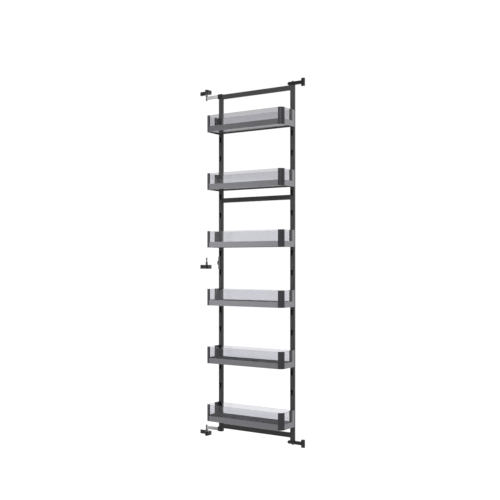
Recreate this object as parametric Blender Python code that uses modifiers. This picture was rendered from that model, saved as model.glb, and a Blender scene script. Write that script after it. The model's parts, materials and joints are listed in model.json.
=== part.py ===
"""Swing-out door frame with six glass-sided baskets, for a tall larder cupboard.

The frame hangs on two wall feet at its right and turns about the axis of its right upright. Two link arms
at its left hold the pins of three brackets that belong on the cupboard door. Each basket hooks into
keyhole slots and lifts off. Metres, +Z up. The origin is the centre of the lower wall foot's mounting
face, +X points out of that face into the cupboard side, and the baskets hang on the -Y side.
"""

from math import cos, radians, sin

import bmesh
import bpy
from mathutils import Matrix, Vector

# Clearances
GAP = 0.0003
END_PLAY = 0.0005
RUNNING_CLEARANCE = 0.0003
UNION_LAP = 0.001

# Frame
FRAME_HEIGHT = 1.781
UPRIGHT_SPACING = 0.440
TUBE_WIDTH = 0.022
TUBE_DEPTH = 0.018
TUBE_WALL = 0.0015
TUBE_CORNER = 0.0025
RAIL_HEIGHT = 0.024
RAIL_DEPTH = 0.015
RAIL_WALL = 0.0015
RAIL_CORNER = 0.002
MIDDLE_RAIL_RISE = 1.220
BOTTOM_RAIL_RISE = 0.0265

# Keyhole slots on the front of each upright
SLOT_PITCH = 0.100
SLOTS_PER_BASKET = 3
SLOT_LENGTH = 0.030
SLOT_WIDE = 0.0125
SLOT_NARROW = 0.009
SLOT_SHOULDER = 30.0

# Wall feet, pivot arms and pivot pins
WALL_TO_PIVOT = 0.068
WALL_FOOT_DEPTH = 0.012
WALL_FOOT_HEIGHT = 0.040
WALL_FOOT_THICKNESS = 0.016
WALL_FOOT_CORNER = 0.002
WALL_SCREW_HOLE = 0.005
WALL_SCREW_SPAN = 0.028
ARM_HEIGHT = 0.0165
ARM_DEPTH = 0.017
ARM_OVERHANG = 0.027
PIVOT_PIN_DIAMETER = 0.008
PIVOT_HEAD_DIAMETER = 0.012
PIVOT_HEAD_HEIGHT = 0.0035
PLUG_LENGTH = 0.020

# Knuckles and link arms
KNUCKLE_HEIGHT = 0.024
KNUCKLE_STAND = 0.003
KNUCKLE_DEPTH = 0.022
KNUCKLE_BULGE = 0.006
KNUCKLE_PLATE = 0.0018
KNUCKLE_CORNER = 0.003
KNUCKLE_PIN_DIAMETER = 0.006
KNUCKLE_RIVET_DIAMETER = 0.011
KNUCKLE_RIVET_HEIGHT = 0.002
LINK_LENGTH = 0.0965
LINK_WIDTH = 0.014
LINK_HEIGHT = 0.015
LINK_TAPER = 0.014
CLIP_WALL = 0.0022
CLIP_MOUTH = 130.0
CLIP_MOUTH_AIM = 262.0

# Door brackets and their pins
BRACKET_HEIGHT = 0.021
BRACKET_ARM_WIDTH = 0.018
BRACKET_LEG_LENGTH = 0.073
BRACKET_LEG_THICKNESS = 0.004
BRACKET_REACH = 0.032
BRACKET_SCREW_HOLE = 0.005
BRACKET_SCREW_SPAN = 0.028
DOOR_PIN_SHANK = 0.007
DOOR_PIN_BODY = 0.0115
DOOR_PIN_NECK = 0.0065
DOOR_PIN_HEAD = 0.009
DOOR_PIN_HEAD_HEIGHT = 0.007
DOOR_PIN_BODY_LENGTH = 0.016
MIDDLE_BRACKET_DROP = 0.022

# Door catch on the left upright
CATCH_SHEET = 0.0015
CATCH_MARGIN = 0.0025
CATCH_FRONT_WIDTH = 0.012
CATCH_SIDE_DEPTH = 0.014
BUFFER_HEIGHT = 0.021
BUFFER_DEPTH = 0.012
BUFFER_STAND = 0.006
BUFFER_FLAT = 0.004

# Baskets
BASKET_DEPTH = 0.112
BASKET_HEIGHT = 0.085
BASKET_TOP_OVER_SLOT = 0.0143
BASKET_END_CLEARANCE = 0.020
BAND_HEIGHT = 0.0285
SHEET = 0.0015
FLOOR_RISE = 0.006
POST_RADIUS = 0.024
POST_THICKNESS = 0.0095
BACK_POST_LENGTH = 0.032
BACK_POST_WIDTH = 0.013
BACK_RAIL_INSET = 0.0002
GLASS_THICKNESS = 0.004
GLASS_INSET = 0.0022
GLASS_IN_POST = 0.004
GLASS_BELOW_TOP = 0.0005
LINER_WALL = 0.002
LINER_BELOW_BAND = 0.002
LINER_GLASS_GAP = 0.0004
LINER_BACK_CORNER = 0.003
LUG_LAP = 0.005
LUG_WIDTH = 0.0207
LUG_CLEARANCE = 0.0005
TAB_THICKNESS = 0.002
TAB_HEIGHT = 0.036
STUD_NECK = 0.008
STUD_HEAD = 0.0115
STUD_HEAD_THICKNESS = 0.002
STUD_SEAT_GAP = 0.0003

# Facets of round shapes, and the angle in degrees past which an edge is shown sharp
TURNED_STEPS = 20
STUD_STEPS = 12
CORNER_STEPS = 3
POST_STEPS = 6
EYE_STEPS = 10
SLOT_STEPS = 6
SHARP_ANGLE = 30.0
WELD = 1e-6

# Places that follow from the sizes
PIVOT_X = -WALL_TO_PIVOT
LEFT_X = PIVOT_X - UPRIGHT_SPACING
CENTRE_X = (PIVOT_X + LEFT_X) / 2
FRAME_BOTTOM = ARM_HEIGHT / 2 + END_PLAY
FRAME_MIDDLE = FRAME_BOTTOM + FRAME_HEIGHT / 2
FRAME_END = FRAME_HEIGHT / 2
KNUCKLE_END = FRAME_END + KNUCKLE_STAND
LINK_SLOT = LINK_HEIGHT + 2 * GAP
LINK_LEVEL = KNUCKLE_END - KNUCKLE_PLATE - LINK_SLOT / 2
DOOR_PIN_X = LEFT_X - LINK_LENGTH
BRACKET_LEVEL = LINK_LEVEL + LINK_SLOT / 2 + DOOR_PIN_BODY_LENGTH + BRACKET_HEIGHT / 2
BASKET_BELOW_SLOT = BASKET_HEIGHT - BASKET_TOP_OVER_SLOT
SLOT_END_MARGIN = BASKET_BELOW_SLOT + KNUCKLE_HEIGHT + BASKET_END_CLEARANCE
SLOT_COUNT = int((FRAME_HEIGHT - 2 * SLOT_END_MARGIN) / SLOT_PITCH) + 1
LOWEST_SLOT = FRAME_MIDDLE - SLOT_PITCH * (SLOT_COUNT - 1) / 2
USED_SLOTS = range(SLOT_COUNT - 1, -1, -SLOTS_PER_BASKET)
MIDDLE_BASKET_SLOT = USED_SLOTS[(len(USED_SLOTS) - 1) // 2]
CATCH_LEVEL = LOWEST_SLOT + SLOT_PITCH * (MIDDLE_BASKET_SLOT - SLOTS_PER_BASKET // 2 - 0.5)
STUD_SEAT = SLOT_LENGTH / 2 - STUD_NECK / 2 - STUD_SEAT_GAP
STUD_RISE = BASKET_BELOW_SLOT - STUD_SEAT
BASKET_HALF = UPRIGHT_SPACING / 2 + TUBE_WIDTH / 2 + LUG_CLEARANCE + SHEET
TAB_BACK = -TUBE_DEPTH / 2 - END_PLAY
TAB_FRONT = TAB_BACK - TAB_THICKNESS
BASKET_BACK = TAB_FRONT - GAP
BASKET_FRONT = BASKET_BACK - BASKET_DEPTH
LUG_BACK = -TUBE_DEPTH / 2 + LUG_LAP
LUG_FRONT = LUG_BACK - LUG_WIDTH
LINER_FLOOR = FLOOR_RISE + SHEET + GAP
LINER_INSET = GLASS_INSET + GLASS_THICKNESS + LINER_GLASS_GAP

# Turns from the plan of an outline to the upright planes
TO_XZ = Matrix(((1, 0, 0, 0), (0, 0, -1, 0), (0, 1, 0, 0), (0, 0, 0, 1)))
TO_YZ = Matrix(((0, 0, 1, 0), (1, 0, 0, 0), (0, 1, 0, 0), (0, 0, 0, 1)))

COLLECTION = "door_basket_frame"


def start_scene():
    """Empties the scene and opens the collection that holds the pieces."""
    for obj in list(bpy.data.objects):
        bpy.data.objects.remove(obj, do_unlink=True)
    bpy.context.scene.collection.children.link(bpy.data.collections.new(COLLECTION))


def add_object(name, data):
    obj = bpy.data.objects.new(name, data)
    bpy.data.collections[COLLECTION].objects.link(obj)
    return obj


def add_finish(name, colour, roughness, metallic, alpha=1.0):
    finish = bpy.data.materials.new(name)
    finish.use_nodes = True
    shader = finish.node_tree.nodes["Principled BSDF"]
    shader.inputs["Base Color"].default_value = (*colour, 1.0)
    shader.inputs["Roughness"].default_value = roughness
    shader.inputs["Metallic"].default_value = metallic
    shader.inputs["Alpha"].default_value = alpha


def add_finishes():
    add_finish("dark_powder_coat", (0.060, 0.060, 0.063), 0.45, 0.0)
    add_finish("black_steel", (0.012, 0.012, 0.013), 0.40, 0.3)
    add_finish("grey_sheet", (0.240, 0.240, 0.255), 0.40, 0.6)
    add_finish("dark_moulding", (0.055, 0.055, 0.062), 0.50, 0.0)
    add_finish("clear_glass", (0.780, 0.800, 0.820), 0.05, 0.0, 0.3)
    add_finish("pale_nylon", (0.520, 0.520, 0.530), 0.45, 0.0)
    add_finish("black_rubber", (0.010, 0.010, 0.010), 0.80, 0.0)
    add_finish("grey_steel", (0.160, 0.160, 0.165), 0.35, 0.8)


def arc(centre, radius, start, end, steps):
    """Points on an arc between two angles in degrees, both ends included."""
    turns = [radians(start + (end - start) * i / steps) for i in range(steps + 1)]
    return [(centre[0] + radius * cos(t), centre[1] + radius * sin(t)) for t in turns]


def circle(centre, radius, steps=TURNED_STEPS):
    return arc(centre, radius, 0, 360, steps)[:-1]


def rounded_rectangle(low, high, radius, steps=CORNER_STEPS):
    """A rectangle's outline with the same arc at each corner, counter-clockwise."""
    (x0, y0), (x1, y1) = low, high
    corners = ((x1, y0, -1, 1, -90), (x1, y1, -1, -1, 0), (x0, y1, 1, -1, 90), (x0, y0, 1, 1, 180))
    points = []
    for x, y, in_x, in_y, start in corners:
        points += arc((x + in_x * radius, y + in_y * radius), radius, start, start + 90, steps)
    return points


def settled(obj):
    """The evaluated mesh of a temporary object, welded, with the object removed."""
    graph = bpy.context.evaluated_depsgraph_get()
    mesh = bpy.data.meshes.new_from_object(obj.evaluated_get(graph))
    bpy.data.objects.remove(obj, do_unlink=True)
    welder = bmesh.new()
    welder.from_mesh(mesh)
    bmesh.ops.remove_doubles(welder, verts=welder.verts, dist=WELD)
    welder.to_mesh(mesh)
    welder.free()
    return mesh


def prism(outlines, low, high, turn=None):
    """Outlines in plan, the outer one first and then its holes, raised from low to high and then turned."""
    curve = bpy.data.curves.new("outline", "CURVE")
    curve.dimensions = "2D"
    curve.fill_mode = "BOTH"
    curve.extrude = (high - low) / 2
    for outline in outlines:
        spline = curve.splines.new("POLY")
        spline.points.add(len(outline) - 1)
        spline.use_cyclic_u = True
        for point, (x, y) in zip(spline.points, outline):
            point.co = (x, y, 0, 1)
    mesh = settled(add_object("outline", curve))
    mesh.transform(Matrix.Translation((0, 0, (low + high) / 2)))
    if turn:
        mesh.transform(turn)
    return mesh


def box(low, high):
    low, high = Vector(low), Vector(high)
    shape = bmesh.new()
    bmesh.ops.create_cube(shape, size=1.0)
    bmesh.ops.scale(shape, vec=high - low, verts=shape.verts)
    bmesh.ops.translate(shape, vec=(low + high) / 2, verts=shape.verts)
    mesh = bpy.data.meshes.new("box")
    shape.to_mesh(mesh)
    shape.free()
    return mesh


def turned(profile, steps=TURNED_STEPS):
    """A profile of (radius, height) pairs, run down its outer side, turned about the Z axis."""
    mesh = bpy.data.meshes.new("profile")
    points = [(radius, 0, height) for radius, height in profile]
    mesh.from_pydata(points, [(i, i + 1) for i in range(len(points) - 1)], [])
    obj = add_object("profile", mesh)
    screw = obj.modifiers.new("turn", "SCREW")
    screw.steps = steps
    screw.render_steps = steps
    screw.use_merge_vertices = True
    screw.merge_threshold = WELD
    return settled(obj)


def rod(radius, low, high):
    return turned([(0, high), (radius, high), (radius, low), (0, low)])


def combine(mesh, others, operation, solver="EXACT"):
    """One mesh after each other mesh has been joined to it or cut from it."""
    for other in others:
        obj = add_object("changed", mesh)
        tool = add_object("tool", other)
        change = obj.modifiers.new("change", "BOOLEAN")
        change.operation = operation
        change.solver = solver
        change.object = tool
        mesh = settled(obj)
        bpy.data.objects.remove(tool, do_unlink=True)
    return mesh


def joined(mesh, *others):
    return combine(mesh, others, "UNION")


def cut(mesh, *others):
    return combine(mesh, others, "DIFFERENCE")


def moved(mesh, x=0.0, y=0.0, z=0.0):
    mesh.transform(Matrix.Translation((x, y, z)))
    return mesh


def flipped(mesh, axis):
    """A mirrored copy, with its faces still pointing out."""
    copy = mesh.copy()
    copy.transform(Matrix.Scale(-1, 4, axis))
    copy.flip_normals()
    return copy


def add_axis(name, place, parent=None):
    """An empty on a joint's axis, which carries the pieces that move on that joint."""
    axis = add_object(name, None)
    axis.location = Vector(place)
    if parent:
        axis.parent = parent
        axis.location = Vector(place) - world_place(parent)
    return axis


def world_place(axis):
    place = axis.location.copy()
    while axis.parent:
        axis = axis.parent
        place += axis.location
    return place


def add_piece(name, mesh, finish, axis=None):
    """A piece whose mesh is in world places. Its origin goes to its joint's axis."""
    if axis:
        mesh.transform(Matrix.Translation(-world_place(axis)))
    add_shared_piece(name, mesh, finish, axis)


def add_shared_piece(name, mesh, finish, axis):
    """A piece whose mesh is already measured from its axis, and may serve several pieces."""
    if not mesh.materials:
        mesh.materials.append(bpy.data.materials[finish])
        mesh.shade_smooth()
        mesh.set_sharp_from_angle(angle=radians(SHARP_ANGLE))
    obj = add_object(name, mesh)
    obj.parent = axis


def add_pair(name, mesh, finish, axes):
    """An upper piece, measured from the frame's middle height, and its mirror image below."""
    upper_axis, lower_axis = axes
    lower = flipped(mesh, (0, 0, 1))
    add_piece("upper_" + name, moved(mesh, z=FRAME_MIDDLE), finish, upper_axis)
    add_piece("lower_" + name, moved(lower, z=FRAME_MIDDLE), finish, lower_axis)


def keyhole(x, z):
    """A cutter for one slot: a round upper end wide enough for a stud's head, and a narrow lower leg."""
    half = SLOT_LENGTH / 2
    wide = SLOT_WIDE / 2
    narrow = SLOT_NARROW / 2
    lower = arc((x, z - half + narrow), narrow, 180, 360, SLOT_STEPS)
    centre = z + half - wide
    upper = arc((x, centre), wide, -SLOT_SHOULDER, 180 + SLOT_SHOULDER, SLOT_STEPS)
    shoulder = radians(SLOT_SHOULDER)
    foot = centre - wide * sin(shoulder) - wide * cos(shoulder) + narrow
    outline = lower + [(x + narrow, foot)] + upper + [(x - narrow, foot)]
    return prism([outline], TUBE_DEPTH / 2 - TUBE_WALL - UNION_LAP, TUBE_DEPTH / 2 + UNION_LAP, TO_XZ)


def upright(x, low, high):
    """A rectangular tube with a column of keyhole slots in its front wall."""
    half = Vector((TUBE_WIDTH / 2, TUBE_DEPTH / 2))
    inner = half - Vector((TUBE_WALL, TUBE_WALL))
    middle = Vector((x, 0))
    outside = rounded_rectangle(middle - half, middle + half, TUBE_CORNER)
    inside = rounded_rectangle(middle - inner, middle + inner, TUBE_CORNER - TUBE_WALL)
    tube = prism([outside, inside], low, high)
    slots = [keyhole(x, LOWEST_SLOT + SLOT_PITCH * i) for i in range(SLOT_COUNT)]
    # At some tube lengths the exact solver leaves open edges at a slot
    return combine(tube, slots, "DIFFERENCE", "MANIFOLD")


def rail(z):
    """A rectangular tube between the uprights, with its middle at a height."""
    half = Vector((RAIL_DEPTH / 2, RAIL_HEIGHT / 2))
    inner = half - Vector((RAIL_WALL, RAIL_WALL))
    middle = Vector((0, z))
    outside = rounded_rectangle(middle - half, middle + half, RAIL_CORNER)
    inside = [middle - inner, middle + Vector((inner.x, -inner.y))]
    inside += [middle + inner, middle + Vector((-inner.x, inner.y))]
    reach = TUBE_WIDTH / 2 + GAP
    return prism([outside, inside], LEFT_X + reach, PIVOT_X - reach, TO_YZ)


def tube_plug(x, low, high):
    """A block that fills the end of an upright."""
    half = Vector((TUBE_WIDTH / 2 - TUBE_WALL - GAP, TUBE_DEPTH / 2 - TUBE_WALL - GAP))
    middle = Vector((x, 0))
    return prism([rounded_rectangle(middle - half, middle + half, TUBE_CORNER - TUBE_WALL)], low, high)


def add_frame(axis):
    low = FRAME_BOTTOM
    high = FRAME_BOTTOM + FRAME_HEIGHT
    inset = KNUCKLE_HEIGHT - KNUCKLE_STAND + GAP
    add_piece("right_upright", upright(PIVOT_X, low, high), "dark_powder_coat", axis)
    add_piece("left_upright", upright(LEFT_X, low + inset, high - inset), "dark_powder_coat", axis)
    add_piece("top_rail", rail(high - RAIL_HEIGHT / 2), "dark_powder_coat", axis)
    add_piece("middle_rail", rail(low + MIDDLE_RAIL_RISE), "dark_powder_coat", axis)
    add_piece("bottom_rail", rail(low + BOTTOM_RAIL_RISE), "dark_powder_coat", axis)


def wall_foot():
    """A stout upright foot with a screw hole above and below the arm. Its mounting face lies at X = 0."""
    half = Vector((WALL_FOOT_DEPTH / 2, WALL_FOOT_HEIGHT / 2))
    level = Vector((0, FRAME_END + END_PLAY + ARM_HEIGHT / 2))
    offset = Vector((0, WALL_SCREW_SPAN / 2))
    holes = [circle(place, WALL_SCREW_HOLE / 2, EYE_STEPS) for place in (level - offset, level + offset)]
    outline = rounded_rectangle(level - half, level + half, WALL_FOOT_CORNER)
    return prism([outline, *holes], -WALL_FOOT_THICKNESS, 0, TO_YZ)


def pivot_arm():
    """A bar from the wall foot over the end of the right upright, round at its free end and bored."""
    low = FRAME_END + END_PLAY
    high = low + ARM_HEIGHT
    radius = ARM_HEIGHT / 2
    round_x = PIVOT_X - ARM_OVERHANG + radius
    wall_x = -WALL_FOOT_THICKNESS - GAP
    outline = [(wall_x, low), (wall_x, high)] + arc((round_x, low + radius), radius, 90, 270, EYE_STEPS)
    bar = prism([outline], -ARM_DEPTH / 2, ARM_DEPTH / 2, TO_XZ)
    bore = rod(PIVOT_PIN_DIAMETER / 2 + RUNNING_CLEARANCE, low - UNION_LAP, high + UNION_LAP)
    return cut(bar, moved(bore, x=PIVOT_X))


def pivot_pin():
    """A plug in the end of the right upright, with a pin through the arm and a riveted head."""
    radius = PIVOT_PIN_DIAMETER / 2
    head = PIVOT_HEAD_DIAMETER / 2
    head_low = FRAME_END + END_PLAY + ARM_HEIGHT + GAP
    head_high = head_low + PIVOT_HEAD_HEIGHT
    crown = PIVOT_HEAD_HEIGHT / 2
    foot = FRAME_END - UNION_LAP
    profile = [(0, head_high), (head - crown, head_high), (head, head_high - crown), (head, head_low)]
    profile += [(radius, head_low), (radius, foot), (0, foot)]
    pin = moved(turned(profile), x=PIVOT_X)
    return joined(tube_plug(PIVOT_X, FRAME_END - PLUG_LENGTH, FRAME_END), pin)


def knuckle():
    """A forked block on the end of the left upright, open to the left and the back, with the link's pin.

    The pin's riveted end shows on the outside of the block.
    """
    low = KNUCKLE_END - KNUCKLE_HEIGHT
    right = LEFT_X + TUBE_WIDTH / 2
    left = LEFT_X - TUBE_WIDTH / 2 - KNUCKLE_BULGE
    half = KNUCKLE_DEPTH / 2
    block = prism([rounded_rectangle((left, -half), (right, half), KNUCKLE_CORNER)], low, KNUCKLE_END)
    reach = LINK_WIDTH / 2 + GAP
    slot_low = LINK_LEVEL - LINK_SLOT / 2
    mouth_low = (left - UNION_LAP, -reach, slot_low)
    mouth_high = (LEFT_X + reach, half + UNION_LAP, slot_low + LINK_SLOT)
    pin = rod(KNUCKLE_PIN_DIAMETER / 2, slot_low - UNION_LAP, slot_low + LINK_SLOT + UNION_LAP)
    rivet = KNUCKLE_RIVET_DIAMETER / 2
    rivet_high = KNUCKLE_END + KNUCKLE_RIVET_HEIGHT
    crown = KNUCKLE_RIVET_HEIGHT / 2
    profile = [(0, rivet_high), (rivet - crown, rivet_high), (rivet, rivet_high - crown)]
    profile += [(rivet, KNUCKLE_END - UNION_LAP), (0, KNUCKLE_END - UNION_LAP)]
    head = turned(profile)
    plug = tube_plug(LEFT_X, low - PLUG_LENGTH, low + UNION_LAP)
    forked = cut(block, box(mouth_low, mouth_high))
    return joined(forked, moved(pin, x=LEFT_X), moved(head, x=LEFT_X), plug)


def link_arm():
    """A bar with an eye on the knuckle's pin, tapered to a spring clip for the neck of a door pin.

    The clip's mouth is open to the front.
    """
    half = LINK_WIDTH / 2
    clip = (DOOR_PIN_X, 0)
    seat = DOOR_PIN_NECK / 2 + RUNNING_CLEARANCE
    outer = seat + CLIP_WALL
    first_lip = CLIP_MOUTH_AIM - CLIP_MOUTH / 2
    last_lip = CLIP_MOUTH_AIM + CLIP_MOUTH / 2
    lip = radians(last_lip)
    taper = DOOR_PIN_X + LINK_TAPER
    outline = arc((LEFT_X, 0), half, -90, 90, EYE_STEPS)
    outline += [(taper, half)] + arc(clip, outer, 90, first_lip, EYE_STEPS)
    outline += arc(clip, seat, first_lip, last_lip - 360, 2 * EYE_STEPS)
    outline += [(DOOR_PIN_X + outer * cos(lip), outer * sin(lip)), (taper, -half)]
    eye = circle((LEFT_X, 0), KNUCKLE_PIN_DIAMETER / 2 + RUNNING_CLEARANCE)
    return prism([outline, eye], LINK_LEVEL - LINK_HEIGHT / 2, LINK_LEVEL + LINK_HEIGHT / 2)


def door_bracket():
    """An angle in plan: a leg that lies on the door, and an arm that reaches forward to the door pin."""
    half = BRACKET_ARM_WIDTH / 2
    leg_left = DOOR_PIN_X + half - BRACKET_LEG_LENGTH
    leg_front = BRACKET_REACH - BRACKET_LEG_THICKNESS
    outline = arc((DOOR_PIN_X, 0), half, 180, 360, EYE_STEPS)
    outline += [(DOOR_PIN_X + half, BRACKET_REACH), (leg_left, BRACKET_REACH)]
    outline += [(leg_left, leg_front), (DOOR_PIN_X - half, leg_front)]
    bore = circle((DOOR_PIN_X, 0), DOOR_PIN_SHANK / 2 + GAP)
    body = prism([outline, bore], BRACKET_LEVEL - BRACKET_HEIGHT / 2, BRACKET_LEVEL + BRACKET_HEIGHT / 2)
    leg_middle = (leg_left + DOOR_PIN_X - half) / 2
    holes = []
    for side in (-1, 1):
        place = (leg_middle + side * BRACKET_SCREW_SPAN / 2, BRACKET_LEVEL)
        hole = circle(place, BRACKET_SCREW_HOLE / 2, EYE_STEPS)
        holes.append(prism([hole], -BRACKET_REACH - UNION_LAP, UNION_LAP - leg_front, TO_XZ))
    return cut(body, *holes)


def door_pin():
    """A shank through the bracket, a shouldered body, a neck for the link's clip and a rounded head."""
    shank = DOOR_PIN_SHANK / 2
    body = DOOR_PIN_BODY / 2
    neck = DOOR_PIN_NECK / 2
    head = DOOR_PIN_HEAD / 2
    face = BRACKET_LEVEL - BRACKET_HEIGHT / 2 - GAP
    neck_high = LINK_LEVEL + LINK_SLOT / 2
    neck_low = LINK_LEVEL - LINK_SLOT / 2
    tip = neck_low - DOOR_PIN_HEAD_HEIGHT
    crown = min(head / 2, DOOR_PIN_HEAD_HEIGHT / 2)
    profile = [(0, BRACKET_LEVEL + BRACKET_HEIGHT / 2), (shank, BRACKET_LEVEL + BRACKET_HEIGHT / 2)]
    profile += [(shank, face), (body, face), (body, neck_high), (neck, neck_high), (neck, neck_low)]
    profile += [(head, neck_low), (head, tip + crown), (head - crown, tip), (0, tip)]
    return moved(turned(profile), x=DOOR_PIN_X)


def add_door_brackets(axis):
    """Three brackets of one door: pins down at the top, up at the bottom and up in the middle."""
    for name, mesh, finish in (
        ("door_bracket", door_bracket(), "black_steel"),
        ("door_pin", door_pin(), "grey_steel"),
    ):
        middle = moved(flipped(mesh, (0, 0, 1)), z=BRACKET_LEVEL + FRAME_MIDDLE - MIDDLE_BRACKET_DROP)
        add_pair(name, mesh, finish, (axis, axis))
        add_piece("middle_" + name, middle, finish, axis)


def add_catch(axis):
    """An angled plate on the left upright, clear of the slots, with a buffer on its outer side."""
    half = (SLOT_PITCH - SLOT_LENGTH) / 2 - CATCH_MARGIN
    outer = LEFT_X - TUBE_WIDTH / 2 - GAP - CATCH_SHEET
    front = -TUBE_DEPTH / 2 - GAP - CATCH_SHEET
    inner_x = outer + CATCH_SHEET
    inner_y = front + CATCH_SHEET
    right = outer + CATCH_FRONT_WIDTH
    back = front + CATCH_SIDE_DEPTH
    angle = [(outer, front), (right, front), (right, inner_y)]
    angle += [(inner_x, inner_y), (inner_x, back), (outer, back)]
    plate = prism([angle], CATCH_LEVEL - half, CATCH_LEVEL + half)
    low = Vector((front + CATCH_SIDE_DEPTH / 2 - BUFFER_DEPTH / 2, CATCH_LEVEL - BUFFER_HEIGHT / 2))
    high = low + Vector((BUFFER_DEPTH, BUFFER_HEIGHT))
    rounding = (min(BUFFER_DEPTH, BUFFER_HEIGHT) - BUFFER_FLAT) / 2
    outline = rounded_rectangle(low, high, rounding, EYE_STEPS)
    buffer = prism([outline], outer - GAP - BUFFER_STAND, outer - GAP, TO_YZ)
    add_piece("catch_plate", plate, "grey_steel", axis)
    add_piece("catch_buffer", buffer, "black_rubber", axis)


def stud():
    """A headed stud on a hanger tab, along Y from the tab into the upright."""
    neck = STUD_NECK / 2
    head = STUD_HEAD / 2
    head_front = -TUBE_DEPTH / 2 + TUBE_WALL + END_PLAY
    head_back = head_front + STUD_HEAD_THICKNESS
    foot = TAB_BACK - UNION_LAP
    profile = [(0, head_back), (head, head_back), (head, head_front)]
    profile += [(neck, head_front), (neck, foot), (0, foot)]
    mesh = turned(profile, STUD_STEPS)
    mesh.transform(Matrix.Rotation(radians(-90), 4, "X"))
    return moved(mesh, x=UPRIGHT_SPACING / 2, z=STUD_RISE)


def basket_tray():
    """A sheet floor with a light band at the front and ends. Each end rises at the back as a hanger lug."""
    notch = POST_RADIUS + GAP
    side = BASKET_HALF - SHEET / 2
    floor_side = BASKET_HALF - notch - SHEET
    floor_step = BASKET_FRONT + notch + SHEET
    floor_back = BASKET_BACK - BACK_RAIL_INSET - SHEET - GAP
    floor_front = BASKET_FRONT + SHEET / 2
    sheet = box((-side, floor_front, FLOOR_RISE), (side, floor_back, FLOOR_RISE + SHEET))
    corner = box((floor_side, BASKET_FRONT, 0), (BASKET_HALF, floor_step, BAND_HEIGHT))
    floor = cut(sheet, corner, flipped(corner, (1, 0, 0)))
    band_half = BASKET_HALF - notch
    band = box((-band_half, BASKET_FRONT, 0), (band_half, BASKET_FRONT + SHEET, BAND_HEIGHT))
    end = [(BASKET_FRONT + notch, 0), (LUG_BACK, 0), (LUG_BACK, BASKET_HEIGHT)]
    end += [(LUG_FRONT, BASKET_HEIGHT), (LUG_FRONT, BAND_HEIGHT), (BASKET_FRONT + notch, BAND_HEIGHT)]
    lug = prism([end], BASKET_HALF - SHEET, BASKET_HALF, TO_YZ)
    tab_low = (UPRIGHT_SPACING / 2 - STUD_HEAD / 2, TAB_FRONT, STUD_RISE - TAB_HEIGHT / 2)
    tab_high = (BASKET_HALF - SHEET / 2, TAB_BACK, STUD_RISE + TAB_HEIGHT / 2)
    hanger = joined(lug, box(tab_low, tab_high), stud())
    return joined(floor, band, hanger, flipped(hanger, (1, 0, 0)))


def front_post():
    """A quarter ring at the front right corner, as tall as the basket."""
    centre = (BASKET_HALF - POST_RADIUS, BASKET_FRONT + POST_RADIUS)
    outline = arc(centre, POST_RADIUS, -90, 0, POST_STEPS)
    outline += arc(centre, POST_RADIUS - POST_THICKNESS, 0, -90, POST_STEPS)
    return prism([outline], 0, BASKET_HEIGHT)


def back_post():
    """An angle at the back right corner, stepped in behind the light band and the hanger lug."""
    inner_x = BASKET_HALF - POST_THICKNESS
    inner_y = BASKET_BACK - POST_THICKNESS
    front = BASKET_BACK - BACK_POST_LENGTH
    side = BASKET_HALF - BACK_POST_WIDTH
    outline = [(BASKET_HALF, front), (BASKET_HALF, BASKET_BACK), (side, BASKET_BACK)]
    outline += [(side, inner_y), (inner_x, inner_y), (inner_x, front)]
    post = prism([outline], LINER_FLOOR + LINER_WALL / 2, BASKET_HEIGHT)
    step = BASKET_HALF - GLASS_INSET
    outside = BASKET_HALF + UNION_LAP
    behind_band = box((step, front - UNION_LAP, 0), (outside, BASKET_BACK + UNION_LAP, BAND_HEIGHT + GAP))
    behind_lug = box((step, LUG_FRONT - GAP, 0), (outside, LUG_BACK, BASKET_HEIGHT + UNION_LAP))
    return cut(post, behind_band, behind_lug)


def liner_tray():
    """The dark inner tray: a floor and a low wall inside the glass."""
    rise = BAND_HEIGHT - LINER_BELOW_BAND
    outer = tray_outline(LINER_INSET, LINER_BACK_CORNER + LINER_WALL)
    inner = tray_outline(LINER_INSET + LINER_WALL, LINER_BACK_CORNER)
    hollow = prism([inner], LINER_FLOOR + LINER_WALL, rise + UNION_LAP)
    return cut(prism([outer], LINER_FLOOR, rise), hollow)


def tray_outline(inset, back_corner):
    """The basket's plan, drawn in by an inset, with wide front corners and small back ones."""
    side = BASKET_HALF - inset
    front = BASKET_FRONT + inset
    back = BASKET_BACK - inset
    radius = POST_RADIUS - inset
    points = arc((side - radius, front + radius), radius, -90, 0, POST_STEPS)
    points += arc((side - back_corner, back - back_corner), back_corner, 0, 90, CORNER_STEPS)
    points += arc((back_corner - side, back - back_corner), back_corner, 90, 180, CORNER_STEPS)
    points += arc((radius - side, front + radius), radius, 180, 270, POST_STEPS)
    return points


def glass_boxes():
    """The lowest and highest corners of the four panes, by name."""
    low = LINER_FLOOR
    high = BASKET_HEIGHT - GLASS_BELOW_TOP
    outer = GLASS_INSET
    inner = GLASS_INSET + GLASS_THICKNESS
    wide = BASKET_HALF - POST_RADIUS + GLASS_IN_POST
    back_wide = BASKET_HALF - BACK_POST_WIDTH + GLASS_IN_POST
    end_front = BASKET_FRONT + POST_RADIUS - GLASS_IN_POST
    end_back = BASKET_BACK - BACK_POST_LENGTH + GLASS_IN_POST
    return {
        "front_glass": ((-wide, BASKET_FRONT + outer, low), (wide, BASKET_FRONT + inner, high)),
        "back_glass": ((-back_wide, BASKET_BACK - inner, low), (back_wide, BASKET_BACK - outer, high)),
        "right_glass": ((BASKET_HALF - inner, end_front, low), (BASKET_HALF - outer, end_back, high)),
        "left_glass": ((outer - BASKET_HALF, end_front, low), (inner - BASKET_HALF, end_back, high)),
    }


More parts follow.
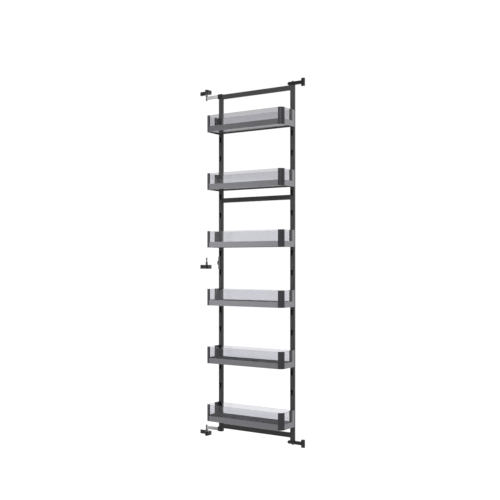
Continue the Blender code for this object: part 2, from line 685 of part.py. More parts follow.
def basket_liner():
    """The dark moulding: inner tray, four corner posts grooved for the glass, and a back rail."""
    posts = [front_post(), back_post()]
    posts += [flipped(post, (1, 0, 0)) for post in posts]
    rail_back = BASKET_BACK - BACK_RAIL_INSET
    rail_half = BASKET_HALF - GLASS_INSET - GAP
    back_rail = box((-rail_half, rail_back - SHEET, 0), (rail_half, rail_back, BAND_HEIGHT))
    liner = joined(liner_tray(), *posts, back_rail)
    margin = Vector((GAP, GAP, GAP))
    over_top = Vector((0, 0, UNION_LAP))
    panes = glass_boxes().values()
    grooves = [box(Vector(low) - margin, Vector(high) + margin + over_top) for low, high in panes]
    return cut(liner, *grooves)


def add_baskets(frame_axis):
    """One basket on every third slot, from the top down, each on its own lift axis."""
    pieces = [("tray", basket_tray(), "grey_sheet"), ("liner", basket_liner(), "dark_moulding")]
    for name, (low, high) in glass_boxes().items():
        pieces.append((name, box(low, high), "clear_glass"))
    for number, slot in enumerate(USED_SLOTS, start=1):
        base = LOWEST_SLOT + SLOT_PITCH * slot - STUD_SEAT - STUD_RISE
        axis = add_axis(f"basket_{number}_lift", (CENTRE_X, 0, base), frame_axis)
        for name, mesh, finish in pieces:
            add_shared_piece(f"basket_{number}_{name}", mesh, finish, axis)


def main():
    start_scene()
    add_finishes()
    frame_axis = add_axis("frame_pivot", (PIVOT_X, 0, 0))
    upper_link_axis = add_axis("upper_link_pivot", (LEFT_X, 0, FRAME_MIDDLE + LINK_LEVEL), frame_axis)
    lower_link_axis = add_axis("lower_link_pivot", (LEFT_X, 0, FRAME_MIDDLE - LINK_LEVEL), frame_axis)
    door_axis = add_axis("door_pin_axis", (DOOR_PIN_X, 0, FRAME_MIDDLE + LINK_LEVEL), upper_link_axis)
    add_pair("wall_foot", wall_foot(), "black_steel", (None, None))
    add_pair("pivot_arm", pivot_arm(), "black_steel", (None, None))
    add_frame(frame_axis)
    add_pair("pivot_pin", pivot_pin(), "black_steel", (frame_axis, frame_axis))
    add_pair("knuckle", knuckle(), "black_steel", (frame_axis, frame_axis))
    add_catch(frame_axis)
    add_pair("link_arm", link_arm(), "pale_nylon", (upper_link_axis, lower_link_axis))
    add_door_brackets(door_axis)
    add_baskets(frame_axis)


main()
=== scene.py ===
"""Looks of the swing-out basket frame: eased edges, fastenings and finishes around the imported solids."""

import json
from math import cos, pi, radians, sin

import bpy
from mathutils import Matrix, Vector


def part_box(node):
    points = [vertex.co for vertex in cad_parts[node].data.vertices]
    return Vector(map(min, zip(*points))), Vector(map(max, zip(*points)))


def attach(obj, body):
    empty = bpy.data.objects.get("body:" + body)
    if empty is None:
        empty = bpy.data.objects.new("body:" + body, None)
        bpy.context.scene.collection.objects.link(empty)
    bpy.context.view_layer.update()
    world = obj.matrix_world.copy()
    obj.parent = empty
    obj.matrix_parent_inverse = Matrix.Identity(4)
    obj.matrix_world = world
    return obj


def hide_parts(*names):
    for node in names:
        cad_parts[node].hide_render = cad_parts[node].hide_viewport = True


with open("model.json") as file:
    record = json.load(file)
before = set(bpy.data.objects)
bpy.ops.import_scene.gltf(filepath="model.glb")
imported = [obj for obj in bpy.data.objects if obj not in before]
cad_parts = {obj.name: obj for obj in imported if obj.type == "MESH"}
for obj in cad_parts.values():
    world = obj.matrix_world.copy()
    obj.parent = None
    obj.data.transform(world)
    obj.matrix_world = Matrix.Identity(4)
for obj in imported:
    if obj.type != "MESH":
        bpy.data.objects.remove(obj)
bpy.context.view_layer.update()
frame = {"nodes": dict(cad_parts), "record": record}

# The photograph's camera: level, at the height of the middle baskets, turned to see the right ends
CAMERA_AZIMUTH = radians(33.6)
CAMERA_PLACE = Vector((2.0107, -3.5157, 0.90225))
CAMERA_LENS = 58.6
CAMERA_SENSOR = 36.0
CAMERA_SHIFT = 0.0244
VIEW_ALONG = Vector((-sin(CAMERA_AZIMUTH), cos(CAMERA_AZIMUTH), 0))

# Room: the light that it gives, and its backdrop, a little over white so that it stays clean
ROOM_FILL = 0.7
BACKDROP = 1.03

# How bright the room and the floor look in mirrors, from near the camera to beyond the object
ROOM_SPAN = (-0.36, 0.0)
ROOM_MIRROR = (0.2, 1.0)
FLOOR_SPAN = (-1.5, -0.2)
FLOOR_MIRROR = (0.0, 0.6)

# Floor, well below the frame
FLOOR_SIZE = 14
FLOOR_PLACE = (-0.28, 0, -0.42)
FLOOR_GREY = 0.4
FLOOR_GLOW = 0.74

# How far the room seen through glass dims towards the ceiling, by the height of the view's direction
CEILING_FROM = 0.07
CEILING_FULL = 0.185
CEILING_SHADE = 0.65

# Lamps, and the points that they face
FRONT_CARD = Vector((-2.3, -2.89, 0.92))
FRONT_CARD_SIZE = (1.7, 1.5)
FRONT_CARD_POWER = 7.5
FRONT_CARD_AIM = Vector((-0.28, -0.06, 0.92))
OVERHEAD = Vector((1.8, -3.6, 4.4))
OVERHEAD_SIZE = (3.2, 3.2)
OVERHEAD_POWER = 170
OVERHEAD_AIM = Vector((-0.28, -0.06, 0.9))

# Baskets, counted from the top, and other pieces that come in sets
BASKETS = range(1, 7)
PANES = ("front_glass", "back_glass", "right_glass", "left_glass")
LEVELS = ("lower", "upper")
RAILS = ("top_rail", "middle_rail", "bottom_rail")
BRACKETS = ("lower_door_bracket", "middle_door_bracket", "upper_door_bracket")

# Eased edges, in metres
SHEET_EASE = 0.0004
MOULDING_EASE = 0.0006
GLASS_EASE = 0.0004
CASTING_EASE = 0.0010
TURNED_EASE = 0.0004
RUBBER_EASE = 0.0006
SLOT_EASE = 0.0003
ARM_ROUND = 0.0022
ARM_ROUND_STEPS = 4
EASE_STEPS = 2

# How near points are merged, how flat faces are joined, and how sharp an edge stays sharp
MERGE = 1e-6
FLAT_ANGLE = radians(1)
SMOOTH_ANGLE = radians(35)
FLAT_WEIGHT = 100

# How far a face's normal points down before it counts as an underside
UNDERSIDE = -0.9
TRAY_UNDERSIDE = -0.5

# How far inside its outer faces a tube counts as bore and a tray as its inside, and the tray's height
BORE_DEPTH = 0.0006
TRAY_INSIDE = 0.0012
TRAY_HEIGHT = 0.026

# Grooves along the link arms' straight sides, as offsets from the arm's middle height
STRAIGHT_SIDE = 0.999
GROOVE_OFFSET = 0.0028
GROOVE_HALF = 0.0007
GROOVE_DEPTH = 0.0012
GROOVE_SLOPE = GROOVE_HALF / 4

# Screws with a cross recess
SCREW_HEAD = 0.0085
SCREW_HEAD_HEIGHT = 0.0024
SCREW_SHANK = 0.0042
SCREW_CROWN = 0.0010
CROSS_LENGTH = 0.0046
CROSS_WIDTH = 0.0011
CROSS_DEPTH = 0.0013
CROSS_TAPER = 0.6
CROWN_STEPS = 3
HEAD_SIDES = 24
SHANK_SHORT = 0.0002
FOOT_SCREW_OFFSET = 0.014
LEG_SCREW_OFFSET = 0.014
LEG_THICKNESS = 0.004

# Rivets of the catch plate
RIVET_HEAD = 0.0056
RIVET_HEIGHT = 0.0012
RIVET_OFFSET = 0.024
RIVET_DOME = RIVET_HEIGHT * 0.9
RIVET_DOME_STEPS = 4

# Weld beads between the rails and the uprights
BEAD_RADIUS = 0.0011
BEAD_LENGTH = 0.019
BEAD_RIPPLE = 0.00018
BEAD_SEED = 5
BEAD_CUTS = 14
BEAD_SIDES = 12
BEAD_END = BEAD_RADIUS * 0.9
BEAD_END_STEPS = 3

# Where a noise pattern's dark shade ends and its light shade begins
DARK_END = 0.3
LIGHT_START = 0.7


def deselect():
    if bpy.context.mode != "OBJECT":
        bpy.ops.object.mode_set(mode="OBJECT")
    bpy.ops.object.select_all(action="DESELECT")


def pick(obj):
    """Makes an object the only selected one."""
    deselect()
    obj.select_set(True)
    bpy.context.view_layer.objects.active = obj


def clear_selection(piece, element):
    """Leaves nothing selected on a piece, with its edit mode set to vertices, edges or faces."""
    pick(piece)
    bpy.ops.object.mode_set(mode="EDIT")
    bpy.ops.mesh.select_mode(type=element)
    bpy.ops.mesh.select_all(action="DESELECT")
    bpy.ops.object.mode_set(mode="OBJECT")


def select_faces(piece, wanted):
    """Edit mode with the faces selected that a test on their middle and normal wants."""
    clear_selection(piece, "FACE")
    for face in piece.data.polygons:
        face.select = wanted(face.center, face.normal)
    bpy.ops.object.mode_set(mode="EDIT")


def select_edges(piece, wanted):
    """Edit mode with the edges selected that a test on their two ends wants."""
    clear_selection(piece, "EDGE")
    points = piece.data.vertices
    for edge in piece.data.edges:
        first, second = edge.vertices
        edge.select = wanted(points[first].co, points[second].co)
    bpy.ops.object.mode_set(mode="EDIT")


def leave_edit():
    bpy.ops.object.mode_set(mode="OBJECT")


# Finishes


def new_finish(name, colour, roughness, metallic=0.0, specular=0.5):
    """A finish with a plain shader, and the nodes and links to add detail to it."""
    finish = bpy.data.materials.new(name)
    finish.use_nodes = True
    shader = finish.node_tree.nodes["Principled BSDF"]
    shader.inputs["Base Color"].default_value = (*colour, 1)
    shader.inputs["Roughness"].default_value = roughness
    shader.inputs["Metallic"].default_value = metallic
    shader.inputs["Specular IOR Level"].default_value = specular
    return finish, shader, finish.node_tree.nodes, finish.node_tree.links


def add_noise(nodes, links, scale, detail, stretch=(1, 1, 1)):
    """Noise on the piece's own place, with its pattern stretched along an axis if need be."""
    place = nodes.new("ShaderNodeTexCoord")
    mapping = nodes.new("ShaderNodeMapping")
    mapping.inputs["Scale"].default_value = stretch
    noise = nodes.new("ShaderNodeTexNoise")
    noise.inputs["Scale"].default_value = scale
    noise.inputs["Detail"].default_value = detail
    links.new(place.outputs["Object"], mapping.inputs["Vector"])
    links.new(mapping.outputs["Vector"], noise.inputs["Vector"])
    return noise.outputs["Fac"]


def add_bump(nodes, links, shader, height, strength, distance):
    bump = nodes.new("ShaderNodeBump")
    bump.inputs["Strength"].default_value = strength
    bump.inputs["Distance"].default_value = distance
    links.new(height, bump.inputs["Height"])
    links.new(bump.outputs["Normal"], shader.inputs["Normal"])


def add_shades(nodes, links, shader, factor, dark, light):
    """The base colour wanders between two shades."""
    ramp = nodes.new("ShaderNodeValToRGB")
    first, last = ramp.color_ramp.elements
    first.position = DARK_END
    first.color = (*dark, 1)
    last.position = LIGHT_START
    last.color = (*light, 1)
    links.new(factor, ramp.inputs["Fac"])
    links.new(ramp.outputs["Color"], shader.inputs["Base Color"])


def add_roughness(nodes, links, shader, factor, low, high):
    spread = nodes.new("ShaderNodeMapRange")
    spread.inputs["To Min"].default_value = low
    spread.inputs["To Max"].default_value = high
    links.new(factor, spread.inputs["Value"])
    links.new(spread.outputs["Result"], shader.inputs["Roughness"])


def dark_powder_coat():
    """Baked powder on steel tube: fine orange peel and a faint drift of shade."""
    colour = (0.046, 0.046, 0.047)
    finish, shader, nodes, links = new_finish("dark powder coat", colour, roughness=0.45, specular=0.35)
    drift = add_noise(nodes, links, scale=9, detail=4)
    add_shades(nodes, links, shader, drift, dark=(0.042, 0.042, 0.043), light=(0.051, 0.051, 0.052))
    peel = add_noise(nodes, links, scale=700, detail=2)
    add_bump(nodes, links, shader, peel, strength=0.2, distance=0.0003)
    add_roughness(nodes, links, shader, peel, low=0.38, high=0.5)
    return finish


def dark_moulding():
    """Moulded corner posts and inner tray, with a fine spark-eroded grain."""
    colour = (0.036, 0.036, 0.042)
    finish, shader, nodes, links = new_finish("dark moulding", colour, roughness=0.36)
    drift = add_noise(nodes, links, scale=14, detail=4)
    add_shades(nodes, links, shader, drift, dark=(0.033, 0.033, 0.038), light=(0.040, 0.040, 0.046))
    grain = add_noise(nodes, links, scale=1600, detail=3)
    add_bump(nodes, links, shader, grain, strength=0.3, distance=0.0002)
    add_roughness(nodes, links, shader, grain, low=0.3, high=0.42)
    return finish


def grey_sheet():
    """Sheet steel of the trays under a satin grey lacquer with a fine metallic fleck."""
    colour = (0.28, 0.277, 0.297)
    finish, shader, nodes, links = new_finish("grey sheet", colour, roughness=0.3, metallic=0.9)
    fleck = add_noise(nodes, links, scale=1200, detail=2)
    add_shades(nodes, links, shader, fleck, dark=(0.26, 0.257, 0.276), light=(0.30, 0.297, 0.318))
    drift = add_noise(nodes, links, scale=30, detail=3)
    add_roughness(nodes, links, shader, drift, low=0.26, high=0.34)
    peel = add_noise(nodes, links, scale=500, detail=2)
    add_bump(nodes, links, shader, peel, strength=0.06, distance=0.0002)
    return finish


def clear_glass():
    """Slightly grey float glass with polished edges, its tint a little uneven."""
    colour = (0.75, 0.75, 0.782)
    finish, shader, nodes, links = new_finish("clear glass", colour, roughness=0.0)
    shader.inputs["Transmission Weight"].default_value = 1.0
    shader.inputs["IOR"].default_value = 1.46
    drift = add_noise(nodes, links, scale=4, detail=1)
    add_shades(nodes, links, shader, drift, dark=(0.74, 0.74, 0.772), light=(0.76, 0.76, 0.792))
    return finish


def black_steel():
    """Black painted steel of the feet, arms, knuckles and brackets."""
    colour = (0.008, 0.008, 0.008)
    finish, shader, nodes, links = new_finish("black steel", colour, roughness=0.34)
    drift = add_noise(nodes, links, scale=40, detail=4)
    add_shades(nodes, links, shader, drift, dark=(0.007, 0.007, 0.007), light=(0.010, 0.010, 0.010))
    peel = add_noise(nodes, links, scale=900, detail=2)
    add_bump(nodes, links, shader, peel, strength=0.2, distance=0.0002)
    add_roughness(nodes, links, shader, peel, low=0.3, high=0.42)
    return finish


def grey_steel():
    """Plated steel of the pins and the catch, with drawn streaks along its length."""
    colour = (0.14, 0.14, 0.145)
    finish, shader, nodes, links = new_finish("grey steel", colour, roughness=0.4, metallic=0.7)
    streaks = add_noise(nodes, links, scale=400, detail=3, stretch=(1, 1, 0.06))
    add_shades(nodes, links, shader, streaks, dark=(0.12, 0.12, 0.124), light=(0.17, 0.17, 0.175))
    add_roughness(nodes, links, shader, streaks, low=0.32, high=0.48)
    return finish


def pale_nylon():
    """Light grey nylon of the link arms."""
    colour = (0.52, 0.52, 0.53)
    finish, shader, nodes, links = new_finish("pale nylon", colour, roughness=0.45)
    drift = add_noise(nodes, links, scale=60, detail=4)
    add_shades(nodes, links, shader, drift, dark=(0.49, 0.49, 0.50), light=(0.55, 0.55, 0.56))
    grain = add_noise(nodes, links, scale=1400, detail=2)
    add_bump(nodes, links, shader, grain, strength=0.2, distance=0.0002)
    add_roughness(nodes, links, shader, grain, low=0.4, high=0.55)
    return finish


def black_rubber():
    """Matt black rubber of the catch buffer."""
    colour = (0.006, 0.006, 0.006)
    finish, shader, nodes, links = new_finish("black rubber", colour, roughness=0.8, specular=0.1)
    grain = add_noise(nodes, links, scale=1500, detail=3)
    add_shades(nodes, links, shader, grain, dark=(0.005, 0.005, 0.005), light=(0.008, 0.008, 0.008))
    add_bump(nodes, links, shader, grain, strength=0.4, distance=0.0003)
    return finish


def tray_inside():
    """The inner tray's floor and walls: paler than the posts as a painted sheen of light, with a fine
    anti-slip grain.
    """
    colour = (0.085, 0.085, 0.092)
    finish, shader, nodes, links = new_finish("tray inside painted sheen", colour, roughness=0.4)
    grain = add_noise(nodes, links, scale=900, detail=2)
    add_shades(nodes, links, shader, grain, dark=(0.078, 0.078, 0.084), light=(0.092, 0.092, 0.10))
    add_bump(nodes, links, shader, grain, strength=0.25, distance=0.0003)
    add_roughness(nodes, links, shader, grain, low=0.34, high=0.46)
    return finish


def painted_shade_bore():
    """Painted shade inside the uprights: near black, with a faint mottle."""
    colour = (0.005, 0.005, 0.005)
    finish, shader, nodes, links = new_finish("painted shade bore", colour, roughness=0.6)
    shade_mottle = add_noise(nodes, links, scale=120, detail=4)
    add_shades(nodes, links, shader, shade_mottle, dark=(0.004, 0.004, 0.004), light=(0.007, 0.006, 0.006))
    return finish


# Painted sheen: the paler finish on the inside of the trays
PAINTED_SHEEN_INSIDE = tray_inside()
# Painted shade: the near black finish in the bore of the uprights
PAINTED_SHADE_BORE = painted_shade_bore()
FINISHES = {
    "dark_powder_coat": dark_powder_coat(),
    "dark_moulding": dark_moulding(),
    "grey_sheet": grey_sheet(),
    "clear_glass": clear_glass(),
    "black_steel": black_steel(),
    "grey_steel": grey_steel(),
    "pale_nylon": pale_nylon(),
    "black_rubber": black_rubber(),
}
SLOT_OF = {entry["node"]: entry["material_slot"] for entry in frame["record"]["subparts"]}
BODY_OF = {node: body for body, nodes in frame["record"]["behaviour"]["bodies"].items() for node in nodes}


def paint(obj, slot):
    obj.data.materials.clear()
    obj.data.materials.append(FINISHES[slot])


def settle(piece, slot, body):
    """Gives a finished piece the finish of its slot and the body that carries it."""
    paint(piece, slot)
    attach(piece, body)


def stand_for(piece, node):
    """Puts a piece in the place of the solid it was made from."""
    settle(piece, SLOT_OF[node], BODY_OF[node])
    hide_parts(node)


def line_faces(piece, finish, wanted):
    """Gives a second finish to the faces that a test on their middle and normal wants."""
    piece.data.materials.append(finish)
    for face in piece.data.polygons:
        if wanted(face.center, face.normal):
            face.material_index = 1


# Shapes made from the solids


def copy_solid(node):
    """A copy of a solid with its loose triangles merged into whole faces."""
    piece = bpy.data.objects.new(node + "_eased", frame["nodes"][node].data.copy())
    bpy.context.scene.collection.objects.link(piece)
    pick(piece)
    bpy.ops.object.mode_set(mode="EDIT")
    bpy.ops.mesh.select_all(action="SELECT")
    bpy.ops.mesh.remove_doubles(threshold=MERGE)
    bpy.ops.mesh.dissolve_limited(angle_limit=FLAT_ANGLE)
    leave_edit()
    return piece


def smooth(piece):
    """Shades round stretches smooth and keeps the wide faces flat."""
    pick(piece)
    bpy.ops.object.shade_smooth_by_angle(angle=SMOOTH_ANGLE)
    flat = piece.modifiers.new("flat faces", "WEIGHTED_NORMAL")
    flat.keep_sharp = True
    flat.weight = FLAT_WEIGHT
    bpy.ops.object.modifier_apply(modifier=flat.name)


def round_edges(piece, width):
    pick(piece)
    bevel = piece.modifiers.new("ease", "BEVEL")
    bevel.width = width
    bevel.segments = EASE_STEPS
    bevel.limit_method = "ANGLE"
    bevel.angle_limit = SMOOTH_ANGLE
    bpy.ops.object.modifier_apply(modifier=bevel.name)


def ease_node(node, width):
    piece = copy_solid(node)
    round_edges(piece, width)
    smooth(piece)
    stand_for(piece, node)


def copy_piece(piece, name, matrix):
    """A copy of a modelled piece with a mesh of its own, turned and moved to another place."""
    copy = bpy.data.objects.new(name, piece.data.copy())
    bpy.context.scene.collection.objects.link(copy)
    copy.data.transform(matrix)
    return copy


def upright(node):
    """A slotted tube whose bore is painted near black as shade."""
    piece = copy_solid(node)
    round_edges(piece, SLOT_EASE)
    smooth(piece)
    stand_for(piece, node)
    low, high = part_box(node)

    def in_bore(centre, normal):
        in_width = low.x + BORE_DEPTH < centre.x < high.x - BORE_DEPTH
        in_depth = low.y + BORE_DEPTH < centre.y < high.y - BORE_DEPTH
        return in_width and in_depth

    # Painted shade: the faces inside the tube get the near black finish
    line_faces(piece, PAINTED_SHADE_BORE, in_bore)


def ease_baskets(part, width):
    """Eases one piece of the top basket and copies it to the others. Flat panes don't bend light."""
    first = copy_solid("basket_1_" + part)
    round_edges(first, width)
    if part in PANES:
        pick(first)
        bpy.ops.object.shade_flat()
    else:
        smooth(first)
    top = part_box("basket_1_" + part)[0]
    pieces = [first]
    stand_for(first, "basket_1_" + part)
    for number in BASKETS[1:]:
        node = f"basket_{number}_{part}"
        shift = Matrix.Translation(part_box(node)[0] - top)
        pieces.append(copy_piece(first, node + "_eased", shift))
        stand_for(pieces[-1], node)
    return pieces


def line_tray(piece):
    """Gives the inside of a basket's inner tray its own paler finish, a painted sheen."""
    points = [point.co for point in piece.data.vertices]
    left = min(point.x for point in points) + TRAY_INSIDE
    right = max(point.x for point in points) - TRAY_INSIDE
    front = min(point.y for point in points) + TRAY_INSIDE
    back = max(point.y for point in points) - TRAY_INSIDE
    level = min(point.z for point in points) + TRAY_HEIGHT

    def on_inside(centre, normal):
        in_plan = left < centre.x < right and front < centre.y < back
        return in_plan and centre.z < level and normal.z > TRAY_UNDERSIDE

    line_faces(piece, PAINTED_SHEEN_INSIDE, on_inside)


def link_arm(node):
    """The link arm with two grooves along each long side."""
    piece = copy_solid(node)
    low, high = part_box(node)
    middle = (low.z + high.z) / 2
    for offset in (-GROOVE_OFFSET, GROOVE_OFFSET):
        for edge in (-GROOVE_HALF, GROOVE_HALF):
            select_faces(piece, lambda centre, normal: abs(normal.y) > STRAIGHT_SIDE)
            bpy.ops.mesh.bisect(plane_co=(0, 0, middle + offset + edge), plane_no=(0, 0, 1))
            leave_edit()

    def in_groove(centre, normal):
        from_groove = abs(abs(centre.z - middle) - GROOVE_OFFSET)
        return abs(normal.y) > STRAIGHT_SIDE and from_groove < GROOVE_HALF / 2

    select_faces(piece, in_groove)
    bpy.ops.mesh.inset(thickness=GROOVE_SLOPE, depth=-GROOVE_DEPTH)
    leave_edit()
    smooth(piece)
    stand_for(piece, node)


def pivot_arm(node):
    """The pivot arm with its long edges well rounded."""
    piece = copy_solid(node)
    low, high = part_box(node)

    def on_side(first, second):
        sides = (low.y, high.y)
        return any(abs(first.y - side) + abs(second.y - side) < MERGE for side in sides)

    select_edges(piece, on_side)
    bpy.ops.mesh.bevel(offset=ARM_ROUND, segments=ARM_ROUND_STEPS, affect="EDGES")
    leave_edit()
    smooth(piece)
    stand_for(piece, node)


# Fastenings


def model_head(diameter, height):
    """A flat round head that stands on the origin."""
    deselect()
    place = (0, 0, height / 2)
    bpy.ops.mesh.primitive_cylinder_add(
        vertices=HEAD_SIDES, radius=diameter / 2, depth=height, location=place)
    head = bpy.context.object
    bpy.ops.object.transform_apply()
    return head


def model_screw(length):
    """A crowned screw with a cross recess. Its head stands on the origin and its shank points down."""
    screw = model_head(SCREW_HEAD, SCREW_HEAD_HEIGHT)
    select_faces(screw, lambda centre, normal: normal.z < UNDERSIDE)
    bpy.ops.mesh.inset(thickness=(SCREW_HEAD - SCREW_SHANK) / 2)
    bpy.ops.mesh.extrude_region_move(TRANSFORM_OT_translate={"value": (0, 0, -length)})
    leave_edit()
    select_edges(screw, lambda first, second: min(first.z, second.z) > SCREW_HEAD_HEIGHT - MERGE)
    bpy.ops.mesh.bevel(offset=SCREW_CROWN, segments=CROWN_STEPS, affect="EDGES")
    leave_edit()
    for turn in (0, pi / 2):
        cut_recess(screw, turn)
    smooth(screw)
    return screw


def cut_recess(screw, turn):
    """Cuts one bar of the cross from a screw's head, narrower at its bottom."""
    deselect()
    bpy.ops.mesh.primitive_cube_add(size=1, location=(0, 0, SCREW_HEAD_HEIGHT), rotation=(0, 0, turn))
    bar = bpy.context.object
    bar.scale = (CROSS_LENGTH, CROSS_WIDTH, 2 * CROSS_DEPTH)
    bpy.ops.object.transform_apply()
    select_faces(bar, lambda centre, normal: normal.z < UNDERSIDE)
    bottom = (0, 0, SCREW_HEAD_HEIGHT - CROSS_DEPTH)
    bpy.ops.transform.resize(value=(CROSS_TAPER, CROSS_TAPER, 1), center_override=bottom)
    leave_edit()
    pick(screw)
    recess = screw.modifiers.new("recess", "BOOLEAN")
    recess.operation = "DIFFERENCE"
    recess.object = bar
    bpy.ops.object.modifier_apply(modifier=recess.name)
    bpy.data.objects.remove(bar, do_unlink=True)


def model_rivet():
    """A low domed head with its flat side at the origin."""
    rivet = model_head(RIVET_HEAD, RIVET_HEIGHT)
    select_edges(rivet, lambda first, second: min(first.z, second.z) > RIVET_HEIGHT - MERGE)
    bpy.ops.mesh.bevel(offset=RIVET_DOME, segments=RIVET_DOME_STEPS, affect="EDGES")
    leave_edit()
    smooth(rivet)
    return rivet


def model_bead():
    """A short rippled weld bead along Z, round at its ends."""
    deselect()
    bpy.ops.mesh.primitive_cylinder_add(vertices=BEAD_SIDES, radius=BEAD_RADIUS, depth=BEAD_LENGTH)
    bead = bpy.context.object
    select_edges(bead, lambda first, second: abs(first.z - second.z) < MERGE)
    bpy.ops.mesh.bevel(offset=BEAD_END, segments=BEAD_END_STEPS, affect="EDGES")
    leave_edit()
    select_edges(bead, lambda first, second: abs(first.z - second.z) > BEAD_LENGTH / 2)
    bpy.ops.mesh.subdivide(number_cuts=BEAD_CUTS)
    bpy.ops.mesh.select_all(action="SELECT")
    bpy.ops.transform.vertex_random(offset=BEAD_RIPPLE, seed=BEAD_SEED)
    leave_edit()
    smooth(bead)
    return bead


def stand(place, direction):
    """The move that takes a piece from the origin to a place, and turns its top to a direction."""
    turn = Vector(direction).to_track_quat("Z", "Y").to_matrix().to_4x4()
    return Matrix.Translation(place) @ turn


def add_foot_screws():
    """Two screws in each wall foot, heads on the side away from the wall."""
    low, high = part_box("lower_wall_foot")
    screw = model_screw(high.x - low.x - SHANK_SHORT)
    for level in LEVELS:
        low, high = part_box(level + "_wall_foot")
        middle = (low + high) / 2
        for number, side in enumerate((-1, 1), start=1):
            place = Vector((low.x, middle.y, middle.z + side * FOOT_SCREW_OFFSET))
            copy = copy_piece(screw, f"{level}_foot_screw_{number}", stand(place, (-1, 0, 0)))
            settle(copy, "grey_steel", "wall_hinges")
    bpy.data.objects.remove(screw, do_unlink=True)


def add_bracket_screws():
    """Two screws through the leg of each door bracket, heads on the side away from the door."""
    screw = model_screw(LEG_THICKNESS - SHANK_SHORT)
    for node in BRACKETS:
        low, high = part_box(node)
        pin_low, pin_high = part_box(node.replace("bracket", "pin"))
        arm_left = pin_low.x + pin_high.x - high.x
        leg_middle = (low.x + arm_left) / 2
        for number, side in enumerate((-1, 1), start=1):
            x = leg_middle + side * LEG_SCREW_OFFSET
            place = Vector((x, high.y - LEG_THICKNESS, (low.z + high.z) / 2))
            copy = copy_piece(screw, f"{node}_screw_{number}", stand(place, (0, -1, 0)))
            settle(copy, "black_steel", BODY_OF[node])
    bpy.data.objects.remove(screw, do_unlink=True)


def add_catch_rivets():
    """Two rivets through the catch plate's front leaf."""
    low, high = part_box("catch_plate")
    rivet = model_rivet()
    middle = (low + high) / 2
    for number, side in enumerate((-1, 1), start=1):
        place = Vector((middle.x, low.y, middle.z + side * RIVET_OFFSET))
        copy = copy_piece(rivet, f"catch_rivet_{number}", stand(place, (0, -1, 0)))
        settle(copy, "grey_steel", "frame")
    bpy.data.objects.remove(rivet, do_unlink=True)


def add_beads():
    """A weld bead at the front and the back of each end of each rail."""
    bead = model_bead()
    for node in RAILS:
        low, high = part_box(node)
        middle = (low + high) / 2
        number = 0
        for x in (low.x, high.x):
            for y in (low.y, high.y):
                number += 1
                copy = copy_piece(bead, f"{node}_weld_{number}", Matrix.Translation((x, y, middle.z)))
                settle(copy, "dark_powder_coat", "frame")
    bpy.data.objects.remove(bead, do_unlink=True)


def dress_frame():
    for level in LEVELS:
        ease_node(level + "_knuckle", CASTING_EASE)
        ease_node(level + "_wall_foot", CASTING_EASE)
        ease_node(level + "_pivot_pin", TURNED_EASE)
        pivot_arm(level + "_pivot_arm")
        link_arm(level + "_link_arm")
    for node in BRACKETS:
        ease_node(node, CASTING_EASE)
        ease_node(node.replace("bracket", "pin"), TURNED_EASE)
    for node in ("left_upright", "right_upright"):
        upright(node)
    ease_node("catch_buffer", RUBBER_EASE)
    ease_node("catch_plate", SHEET_EASE)
    for node in RAILS:
        ease_node(node, SLOT_EASE)


def dress_baskets():
    ease_baskets("tray", SHEET_EASE)
    for liner in ease_baskets("liner", MOULDING_EASE):
        line_tray(liner)
    for pane in PANES:
        ease_baskets(pane, GLASS_EASE)


def add_fastenings():
    add_foot_screws()
    add_bracket_screws()
    add_catch_rivets()
    add_beads()


# Studio


def add_camera():
    data = bpy.data.cameras.new("photo camera")
    data.sensor_width = CAMERA_SENSOR
    data.lens = CAMERA_LENS
    data.shift_y = CAMERA_SHIFT
    camera = bpy.data.objects.new("photo camera", data)
    bpy.context.scene.collection.objects.link(camera)
    camera.location = CAMERA_PLACE
    camera.rotation_euler = (pi / 2, 0, CAMERA_AZIMUTH)
    bpy.context.scene.camera = camera


def add_softbox(name, place, target, width, height, power):
    data = bpy.data.lights.new(name, "AREA")
    data.shape = "RECTANGLE"
    data.size = width
    data.size_y = height
    data.energy = power
    lamp = bpy.data.objects.new(name, data)
    bpy.context.scene.collection.objects.link(lamp)
    lamp.location = place
    lamp.rotation_euler = (target - place).to_track_quat("-Z", "Y").to_euler()
    lamp.visible_transmission = False


def background_share(nodes, links):
    """One for rays from the camera, a mirror or glass, and nought for light that falls on things."""
    path = nodes.new("ShaderNodeLightPath")
    share = path.outputs["Is Camera Ray"]
    for name in ("Is Glossy Ray", "Is Transmission Ray"):
        either = nodes.new("ShaderNodeMath")
        either.operation = "MAXIMUM"
        links.new(share, either.inputs[0])
        links.new(path.outputs[name], either.inputs[1])
        share = either.outputs[0]
    return share


def mirror_shade(nodes, links, coordinates, span, shades):
    """One shade in mirrors towards the camera and another beyond the object, and white to all else."""
    way = nodes.new("ShaderNodeTexCoord")
    along = nodes.new("ShaderNodeVectorMath")
    along.operation = "DOT_PRODUCT"
    along.inputs[1].default_value = VIEW_ALONG
    links.new(way.outputs[coordinates], along.inputs[0])
    shade = nodes.new("ShaderNodeMapRange")
    shade.inputs["From Min"].default_value, shade.inputs["From Max"].default_value = span
    shade.inputs["To Min"].default_value, shade.inputs["To Max"].default_value = shades
    links.new(along.outputs["Value"], shade.inputs["Value"])
    path = nodes.new("ShaderNodeLightPath")
    mix = nodes.new("ShaderNodeMix")
    links.new(path.outputs["Is Reflection Ray"], mix.inputs["Factor"])
    mix.inputs["A"].default_value = BACKDROP
    links.new(shade.outputs["Result"], mix.inputs["B"])
    return mix.outputs["Result"]


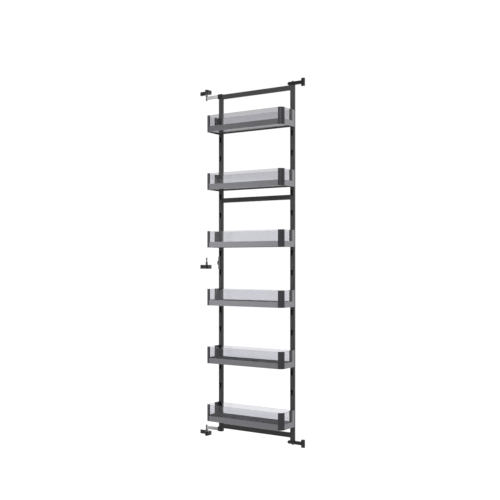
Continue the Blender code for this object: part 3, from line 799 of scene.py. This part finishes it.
def ceiling_shade(nodes, links):
    """Dimmer upwards to rays that came through glass, and white to all else."""
    way = nodes.new("ShaderNodeTexCoord")
    parts = nodes.new("ShaderNodeSeparateXYZ")
    links.new(way.outputs["Generated"], parts.inputs["Vector"])
    shade = nodes.new("ShaderNodeMapRange")
    shade.inputs["From Min"].default_value = CEILING_FROM
    shade.inputs["From Max"].default_value = CEILING_FULL
    shade.inputs["To Min"].default_value = 1.0
    shade.inputs["To Max"].default_value = CEILING_SHADE
    links.new(parts.outputs["Z"], shade.inputs["Value"])
    path = nodes.new("ShaderNodeLightPath")
    mix = nodes.new("ShaderNodeMix")
    links.new(path.outputs["Is Transmission Ray"], mix.inputs["Factor"])
    mix.inputs["A"].default_value = 1.0
    links.new(shade.outputs["Result"], mix.inputs["B"])
    return mix.outputs["Result"]


def add_world():
    world = bpy.data.worlds.new("white studio")
    bpy.context.scene.world = world
    world.use_nodes = True
    nodes, links = world.node_tree.nodes, world.node_tree.links
    fill = nodes["Background"]
    fill.inputs["Color"].default_value = (1, 1, 1, 1)
    fill.inputs["Strength"].default_value = ROOM_FILL
    white = nodes.new("ShaderNodeBackground")
    white.inputs["Color"].default_value = (1, 1, 1, 1)
    shade = nodes.new("ShaderNodeMath")
    shade.operation = "MULTIPLY"
    links.new(mirror_shade(nodes, links, "Generated", ROOM_SPAN, ROOM_MIRROR), shade.inputs[0])
    links.new(ceiling_shade(nodes, links), shade.inputs[1])
    links.new(shade.outputs[0], white.inputs["Strength"])
    mix = nodes.new("ShaderNodeMixShader")
    links.new(background_share(nodes, links), mix.inputs["Fac"])
    links.new(fill.outputs["Background"], mix.inputs[1])
    links.new(white.outputs["Background"], mix.inputs[2])
    links.new(mix.outputs["Shader"], nodes["World Output"].inputs["Surface"])


def add_floor():
    """A pale floor well below the frame, as under a cupboard that hangs on a wall."""
    deselect()
    bpy.ops.mesh.primitive_plane_add(size=FLOOR_SIZE, location=FLOOR_PLACE)
    floor = bpy.context.object
    floor.name = "floor"
    colour = (FLOOR_GREY, FLOOR_GREY, FLOOR_GREY)
    finish, shader, nodes, links = new_finish("floor", colour, roughness=0.8, specular=0.0)
    shown = nodes.new("ShaderNodeMath")
    shown.operation = "MULTIPLY"
    shown.inputs[1].default_value = FLOOR_GLOW
    links.new(background_share(nodes, links), shown.inputs[0])
    glow = nodes.new("ShaderNodeMath")
    glow.operation = "MULTIPLY"
    links.new(shown.outputs[0], glow.inputs[0])
    links.new(mirror_shade(nodes, links, "Object", FLOOR_SPAN, FLOOR_MIRROR), glow.inputs[1])
    shader.inputs["Emission Color"].default_value = (1, 1, 1, 1)
    links.new(glow.outputs[0], shader.inputs["Emission Strength"])
    floor.data.materials.append(finish)


def add_studio():
    bpy.context.scene.view_settings.view_transform = "Standard"
    add_camera()
    add_world()
    add_floor()
    add_softbox("front card", FRONT_CARD, FRONT_CARD_AIM, *FRONT_CARD_SIZE, FRONT_CARD_POWER)
    add_softbox("overhead softbox", OVERHEAD, OVERHEAD_AIM, *OVERHEAD_SIZE, OVERHEAD_POWER)


dress_frame()
dress_baskets()
add_fastenings()
add_studio()
